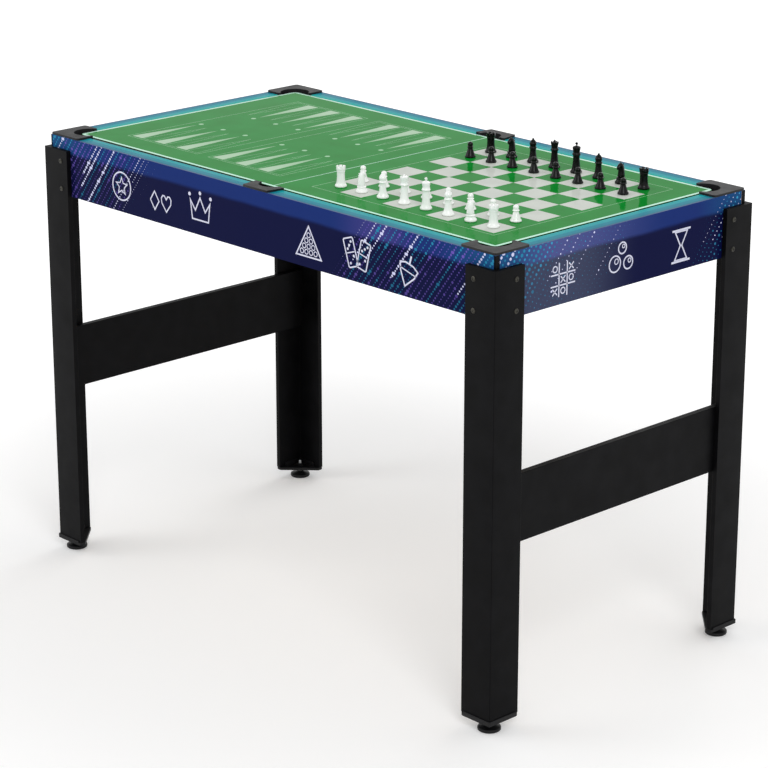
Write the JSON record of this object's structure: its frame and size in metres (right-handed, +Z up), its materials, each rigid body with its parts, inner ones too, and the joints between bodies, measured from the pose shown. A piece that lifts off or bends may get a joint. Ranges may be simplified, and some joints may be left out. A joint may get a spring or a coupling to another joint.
{
  "type": "multi-game table",
  "caption": "Games table with a printed apron, black angle legs, pocket mouldings and a lift-out board printed for chess and backgammon, set up with chess men.",
  "frame": {"origin": "on the floor, under the middle of the table", "axes": "+X along the length to the end with the chess board, +Y from the front long side to the back, +Z up"},
  "size_m": [1.123, 0.603, 0.8378],
  "materials": {
    "apron_print": "fibreboard panel with a satin printed foil, dark blue shading to violet blue",
    "black_foil": "fibreboard wrapped in satin black foil",
    "black_plastic": "moulded black plastic, satin",
    "green_cloth": "fibreboard bed and cushions covered in green cloth",
    "raw_fibreboard": "bare fibreboard",
    "game_print": "fibreboard with a glossy printed game surface, green with white lines",
    "foot_plastic": "black plastic",
    "white_men": "glossy white plastic",
    "black_men": "glossy black plastic"
  },
  "bodies": {
    "table": {"apron_front": "apron_print", "apron_back": "apron_print", "apron_left": "apron_print", "apron_right": "apron_print", "corner_pocket_front_left": "black_plastic", "corner_pocket_front_right": "black_plastic", "corner_pocket_back_right": "black_plastic", "corner_pocket_back_left": "black_plastic", "side_pocket_front": "black_plastic", "side_pocket_back": "black_plastic", "pool_bed": "green_cloth", "bed_bar_left": "raw_fibreboard", "bed_bar_right": "raw_fibreboard", "leg_front_left": "black_foil", "foot_cap_front_left": "foot_plastic", "leg_front_right": "black_foil", "foot_cap_front_right": "foot_plastic", "leg_back_right": "black_foil", "foot_cap_back_right": "foot_plastic", "leg_back_left": "black_foil", "foot_cap_back_left": "foot_plastic", "end_stretcher_left": "black_foil", "end_stretcher_right": "black_foil"},
    "game_board": {"game_board": "game_print"},
    "levelling_foot_front_left": {"levelling_foot_front_left": "foot_plastic"},
    "levelling_foot_front_right": {"levelling_foot_front_right": "foot_plastic"},
    "levelling_foot_back_right": {"levelling_foot_back_right": "foot_plastic"},
    "levelling_foot_back_left": {"levelling_foot_back_left": "foot_plastic"},
    "white_rook_a": {"white_rook_a": "white_men"},
    "white_pawn_a": {"white_pawn_a": "white_men"},
    "white_knight_b": {"white_knight_b": "white_men"},
    "white_pawn_b": {"white_pawn_b": "white_men"},
    "white_bishop_c": {"white_bishop_c": "white_men"},
    "white_pawn_c": {"white_pawn_c": "white_men"},
    "white_queen_d": {"white_queen_d": "white_men"},
    "white_pawn_d": {"white_pawn_d": "white_men"},
    "white_king_e": {"white_king_e": "white_men"},
    "white_pawn_e": {"white_pawn_e": "white_men"},
    "white_bishop_f": {"white_bishop_f": "white_men"},
    "white_pawn_f": {"white_pawn_f": "white_men"},
    "white_knight_g": {"white_knight_g": "white_men"},
    "white_pawn_g": {"white_pawn_g": "white_men"},
    "white_rook_h": {"white_rook_h": "white_men"},
    "white_pawn_h": {"white_pawn_h": "white_men"},
    "black_rook_a": {"black_rook_a": "black_men"},
    "black_pawn_a": {"black_pawn_a": "black_men"},
    "black_knight_b": {"black_knight_b": "black_men"},
    "black_pawn_b": {"black_pawn_b": "black_men"},
    "black_bishop_c": {"black_bishop_c": "black_men"},
    "black_pawn_c": {"black_pawn_c": "black_men"},
    "black_queen_d": {"black_queen_d": "black_men"},
    "black_pawn_d": {"black_pawn_d": "black_men"},
    "black_king_e": {"black_king_e": "black_men"},
    "black_pawn_e": {"black_pawn_e": "black_men"},
    "black_bishop_f": {"black_bishop_f": "black_men"},
    "black_pawn_f": {"black_pawn_f": "black_men"},
    "black_knight_g": {"black_knight_g": "black_men"},
    "black_pawn_g": {"black_pawn_g": "black_men"},
    "black_rook_h": {"black_rook_h": "black_men"},
    "black_pawn_h": {"black_pawn_h": "black_men"}
  },
  "joints": [
    {"name": "game_board_lift", "type": "slide", "parent": "table", "child": "game_board", "axis": [0, 0, 1], "range_m": [0, 0.15]},
    {"name": "levelling_foot_front_left_screw", "type": "slide", "parent": "table", "child": "levelling_foot_front_left", "axis": [0, 0, 1], "range_m": [-0.012, 0]},
    {"name": "levelling_foot_front_right_screw", "type": "slide", "parent": "table", "child": "levelling_foot_front_right", "axis": [0, 0, 1], "range_m": [-0.012, 0]},
    {"name": "levelling_foot_back_right_screw", "type": "slide", "parent": "table", "child": "levelling_foot_back_right", "axis": [0, 0, 1], "range_m": [-0.012, 0]},
    {"name": "levelling_foot_back_left_screw", "type": "slide", "parent": "table", "child": "levelling_foot_back_left", "axis": [0, 0, 1], "range_m": [-0.012, 0]},
    {"name": "white_rook_a_lift", "type": "slide", "parent": "game_board", "child": "white_rook_a", "axis": [0, 0, 1], "range_m": [0, 0.06]},
    {"name": "white_pawn_a_lift", "type": "slide", "parent": "game_board", "child": "white_pawn_a", "axis": [0, 0, 1], "range_m": [0, 0.06]},
    {"name": "white_knight_b_lift", "type": "slide", "parent": "game_board", "child": "white_knight_b", "axis": [0, 0, 1], "range_m": [0, 0.06]},
    {"name": "white_pawn_b_lift", "type": "slide", "parent": "game_board", "child": "white_pawn_b", "axis": [0, 0, 1], "range_m": [0, 0.06]},
    {"name": "white_bishop_c_lift", "type": "slide", "parent": "game_board", "child": "white_bishop_c", "axis": [0, 0, 1], "range_m": [0, 0.06]},
    {"name": "white_pawn_c_lift", "type": "slide", "parent": "game_board", "child": "white_pawn_c", "axis": [0, 0, 1], "range_m": [0, 0.06]},
    {"name": "white_queen_d_lift", "type": "slide", "parent": "game_board", "child": "white_queen_d", "axis": [0, 0, 1], "range_m": [0, 0.06]},
    {"name": "white_pawn_d_lift", "type": "slide", "parent": "game_board", "child": "white_pawn_d", "axis": [0, 0, 1], "range_m": [0, 0.06]},
    {"name": "white_king_e_lift", "type": "slide", "parent": "game_board", "child": "white_king_e", "axis": [0, 0, 1], "range_m": [0, 0.06]},
    {"name": "white_pawn_e_lift", "type": "slide", "parent": "game_board", "child": "white_pawn_e", "axis": [0, 0, 1], "range_m": [0, 0.06]},
    {"name": "white_bishop_f_lift", "type": "slide", "parent": "game_board", "child": "white_bishop_f", "axis": [0, 0, 1], "range_m": [0, 0.06]},
    {"name": "white_pawn_f_lift", "type": "slide", "parent": "game_board", "child": "white_pawn_f", "axis": [0, 0, 1], "range_m": [0, 0.06]},
    {"name": "white_knight_g_lift", "type": "slide", "parent": "game_board", "child": "white_knight_g", "axis": [0, 0, 1], "range_m": [0, 0.06]},
    {"name": "white_pawn_g_lift", "type": "slide", "parent": "game_board", "child": "white_pawn_g", "axis": [0, 0, 1], "range_m": [0, 0.06]},
    {"name": "white_rook_h_lift", "type": "slide", "parent": "game_board", "child": "white_rook_h", "axis": [0, 0, 1], "range_m": [0, 0.06]},
    {"name": "white_pawn_h_lift", "type": "slide", "parent": "game_board", "child": "white_pawn_h", "axis": [0, 0, 1], "range_m": [0, 0.06]},
    {"name": "black_rook_a_lift", "type": "slide", "parent": "game_board", "child": "black_rook_a", "axis": [0, 0, 1], "range_m": [0, 0.06]},
    {"name": "black_pawn_a_lift", "type": "slide", "parent": "game_board", "child": "black_pawn_a", "axis": [0, 0, 1], "range_m": [0, 0.06]},
    {"name": "black_knight_b_lift", "type": "slide", "parent": "game_board", "child": "black_knight_b", "axis": [0, 0, 1], "range_m": [0, 0.06]},
    {"name": "black_pawn_b_lift", "type": "slide", "parent": "game_board", "child": "black_pawn_b", "axis": [0, 0, 1], "range_m": [0, 0.06]},
    {"name": "black_bishop_c_lift", "type": "slide", "parent": "game_board", "child": "black_bishop_c", "axis": [0, 0, 1], "range_m": [0, 0.06]},
    {"name": "black_pawn_c_lift", "type": "slide", "parent": "game_board", "child": "black_pawn_c", "axis": [0, 0, 1], "range_m": [0, 0.06]},
    {"name": "black_queen_d_lift", "type": "slide", "parent": "game_board", "child": "black_queen_d", "axis": [0, 0, 1], "range_m": [0, 0.06]},
    {"name": "black_pawn_d_lift", "type": "slide", "parent": "game_board", "child": "black_pawn_d", "axis": [0, 0, 1], "range_m": [0, 0.06]},
    {"name": "black_king_e_lift", "type": "slide", "parent": "game_board", "child": "black_king_e", "axis": [0, 0, 1], "range_m": [0, 0.06]},
    {"name": "black_pawn_e_lift", "type": "slide", "parent": "game_board", "child": "black_pawn_e", "axis": [0, 0, 1], "range_m": [0, 0.06]},
    {"name": "black_bishop_f_lift", "type": "slide", "parent": "game_board", "child": "black_bishop_f", "axis": [0, 0, 1], "range_m": [0, 0.06]},
    {"name": "black_pawn_f_lift", "type": "slide", "parent": "game_board", "child": "black_pawn_f", "axis": [0, 0, 1], "range_m": [0, 0.06]},
    {"name": "black_knight_g_lift", "type": "slide", "parent": "game_board", "child": "black_knight_g", "axis": [0, 0, 1], "range_m": [0, 0.06]},
    {"name": "black_pawn_g_lift", "type": "slide", "parent": "game_board", "child": "black_pawn_g", "axis": [0, 0, 1], "range_m": [0, 0.06]},
    {"name": "black_rook_h_lift", "type": "slide", "parent": "game_board", "child": "black_rook_h", "axis": [0, 0, 1], "range_m": [0, 0.06]},
    {"name": "black_pawn_h_lift", "type": "slide", "parent": "game_board", "child": "black_pawn_h", "axis": [0, 0, 1], "range_m": [0, 0.06]}
  ]
}
